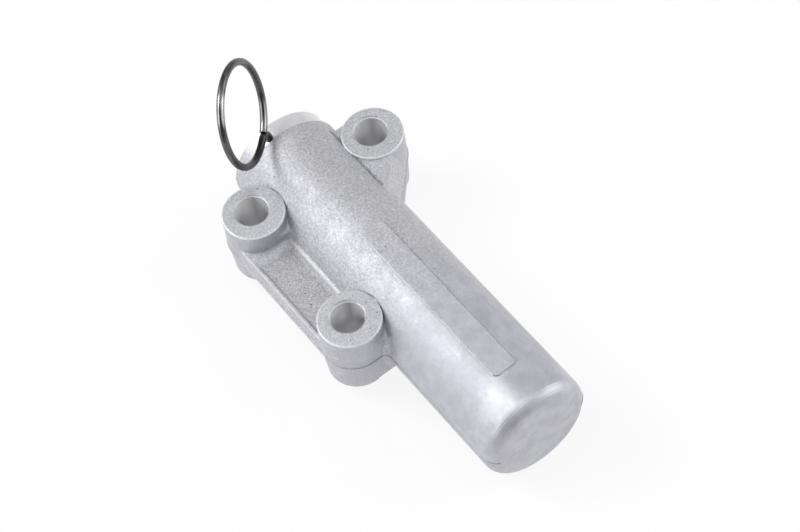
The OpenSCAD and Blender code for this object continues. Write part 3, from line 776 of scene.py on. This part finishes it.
def net_quads(inside, cells):
    """Faces around the grid edges that the surface crosses, turned outwards, as numbers of cells."""
    number = np.full([n - 1 for n in inside.shape], -1)
    number[tuple(cells.T)] = np.arange(len(cells))
    quads = []
    for axis in range(3):
        first = [slice(1, -1)] * 3
        first[axis] = slice(0, -1)
        second = list(first)
        second[axis] = slice(1, None)
        lo, hi = inside[tuple(first)], inside[tuple(second)]
        where = np.argwhere(lo != hi)
        starts = lo[tuple(where.T)]
        where = where + np.array([0 if n == axis else 1 for n in range(3)])
        u, v = (axis + 1) % 3, (axis + 2) % 3
        ring = []
        for du, dv in ((-1, -1), (0, -1), (0, 0), (-1, 0)):
            cell = where.copy()
            cell[:, u] += du
            cell[:, v] += dv
            ring.append(number[tuple(cell.T)])
        ring = np.stack(ring, 1)
        ring[~starts] = ring[~starts][:, ::-1]
        quads.append(ring)
    quads = np.concatenate(quads)
    return quads[(quads >= 0).all(1)]


def net(low, high):
    """The filleted surface inside a box, kept only where it stands off the sharp one, as points and quads."""
    axes = net_axes(low, high)
    field = casting_field(*np.meshgrid(*axes, indexing="ij"), True)
    cells, points = crossings(field, axes)
    for _ in range(2):
        normal = slope(points)
        off = casting_field(*points.T, True) / np.maximum((normal ** 2).sum(1), 0.3)
        points = points - normal * off[:, None]
    proud = casting_field(*points.T, False)
    normal = slope(points)
    normal /= np.maximum(np.linalg.norm(normal, axis=1), 0.2)[:, None]
    points = points - normal * (SINK * np.clip(1 - proud / SINK_BELOW, 0, 1))[:, None]
    quads = net_quads(field < 0, cells)
    return points, quads[(proud[quads] > LEAST_PROUD).any(1)]


def add_fillets(name, low, high):
    points, quads = net(low, high)
    used, quads = np.unique(quads, return_inverse=True)
    mesh = bpy.data.meshes.new(name)
    mesh.from_pydata((points[used] * MM).tolist(), [], quads.reshape(-1, 4).tolist())
    piece = add_piece(name, mesh, "cast_aluminium")
    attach(piece, "casting")


add_fillets("web_fillets", *WEB_BOX)
add_fillets("ear_fillets", *EAR_BOX)


# Springs inside

# Steps in a turn and sides of the wire. In wire diameters: the end turns' pitch and the length held at each end
COIL_STEPS = 40
COIL_SIDES = 12
END_PITCH = 1.04
END_HELD = 1.5


def add_coil(name, node, wire, turns):
    """A round wire coil in a node's place."""
    low, high = (np.array(corner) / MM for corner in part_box(node))
    middle = (low + high) / 2
    radius = (high[1] - low[1] - wire) / 2
    length = high[0] - low[0] - wire
    flat = END_PITCH * wire
    t = np.linspace(0, turns, turns * COIL_STEPS + 1)[:, None]
    rise = np.interp(t, (0, 1, turns - 1, turns), (0, flat, length - flat, length))
    side = 2 * np.pi * np.arange(COIL_SIDES) / COIL_SIDES
    out = radius + wire / 2 * np.cos(side)
    x = low[0] + wire / 2 + rise + wire / 2 * np.sin(side)
    y = middle[1] + out * np.sin(2 * np.pi * t)
    z = middle[2] - out * np.cos(2 * np.pi * t)
    points = np.stack((x, y, z), 2).reshape(-1, 3) * MM
    number = np.arange(len(points)).reshape(-1, COIL_SIDES)
    beside = np.roll(number, -1, 1)
    quads = np.stack((number[:-1], number[1:], beside[1:], beside[:-1]), 2).reshape(-1, 4).tolist()
    mesh = bpy.data.meshes.new(name)
    mesh.from_pydata(points.tolist(), [], quads + [number[0].tolist(), number[-1][::-1].tolist()])
    build = bmesh.new()
    build.from_mesh(mesh)
    bmesh.ops.recalc_face_normals(build, faces=build.faces)
    build.to_mesh(mesh)
    build.free()
    piece = add_piece(name, mesh, "spring_wire")
    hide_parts(node)
    start, end = middle.copy(), middle.copy()
    start[0], end[0] = high[0] - END_HELD * wire, low[0] + END_HELD * wire
    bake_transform(piece)


add_coil("return_coil", "return_spring", wire=1.5, turns=9)
add_coil("ball_coil", "ball_spring", wire=0.3, turns=4)


# Stage, light and camera, in metres and watts

CENTRE = Vector((36, AXIS_Y, AXIS_Z)) * MM
FLOOR_Z = (AXIS_Z - BODY_R) * MM - 0.00002
FLOOR_SIZE = 3.0
WHITE_SHARE = 0.85
SKY_STRENGTH = 0.2
LAMP_DISTANCE = 1.0

# Each lamp's name, direction from the part, size and power
LAMPS = (
    ("key", (-0.48, -0.47, 0.74), 0.42, 4.4),
    ("side", (-0.75, -0.45, 0.48), 0.5, 0.9),
    ("left", (-0.2, -0.95, 0.35), 0.7, 2.4),
    ("top", (0.1, 0.0, 1.0), 0.7, 2.7),
    ("right", (0.35, 0.85, 0.5), 0.7, 3.9),
    ("far", (-0.6, 0.7, 0.5), 0.7, 0.8),
    ("near", (0.75, 0.45, 0.45), 0.6, 1.2),
)

# The photograph's view: where the camera stood, which way it was turned, and its lens in millimetres
CAMERA_PLACE = (0.30366, -0.12546, 0.48372)
CAMERA_RIGHT = (0.5998, 0.7944, -0.0954)
CAMERA_UP = (-0.6407, 0.5482, 0.5376)
CAMERA_BACK = (0.4794, -0.2613, 0.8378)
SENSOR = 36.0
LENS = 99.0


def add_floor():
    """A pale floor that keeps the part's shadow and looks nearly white."""
    mesh = bpy.data.meshes.new("floor")
    build = bmesh.new()
    bmesh.ops.create_grid(build, x_segments=8, y_segments=8, size=FLOOR_SIZE)
    build.to_mesh(mesh)
    build.free()
    floor = bpy.data.objects.new("floor", mesh)
    floor.location = (CENTRE.x, CENTRE.y, FLOOR_Z)
    bpy.context.collection.objects.link(floor)
    g = Graph("floor")
    g.shader.inputs["Base Color"].default_value = FLOOR_TONE
    g.shader.inputs["Roughness"].default_value = 0.9
    glow = g.add("ShaderNodeEmission")
    path = g.add("ShaderNodeLightPath").outputs
    seen = g.either(path["Is Camera Ray"], path["Is Glossy Ray"], path["Is Transmission Ray"])
    blend = g.add("ShaderNodeMixShader")
    g.put(g.both(seen, WHITE_SHARE), blend.inputs["Fac"])
    g.put(g.shader.outputs[0], blend.inputs[1])
    g.put(glow.outputs[0], blend.inputs[2])
    g.put(blend.outputs[0], g.tree.nodes["Material Output"].inputs["Surface"])
    mesh.materials.append(g.material)


def add_world():
    world = bpy.data.worlds.new("studio")
    bpy.context.scene.world = world
    world.use_nodes = True
    sky = world.node_tree.nodes["Background"]
    sky.inputs["Color"].default_value = SKY_TONE
    sky.inputs["Strength"].default_value = SKY_STRENGTH


def add_lamp(name, direction, size, power):
    light = bpy.data.lights.new(name, "AREA")
    light.shape = "SQUARE"
    light.size = size
    light.energy = power
    lamp = bpy.data.objects.new(name, light)
    lamp.location = CENTRE + Vector(direction).normalized() * LAMP_DISTANCE
    lamp.rotation_euler = (CENTRE - lamp.location).to_track_quat("-Z", "Y").to_euler()
    bpy.context.collection.objects.link(lamp)


def add_camera():
    data = bpy.data.cameras.new("camera")
    data.sensor_width = SENSOR
    data.lens = LENS
    data.clip_start = 0.01
    camera = bpy.data.objects.new("camera", data)
    turn = Matrix((CAMERA_RIGHT, CAMERA_UP, CAMERA_BACK)).transposed().to_4x4()
    camera.matrix_world = Matrix.Translation(CAMERA_PLACE) @ turn
    bpy.context.collection.objects.link(camera)
    bpy.context.scene.camera = camera


add_floor()
add_world()
for lamp_row in LAMPS:
    add_lamp(*lamp_row)
add_camera()
bpy.context.scene.view_settings.view_transform = "Standard"
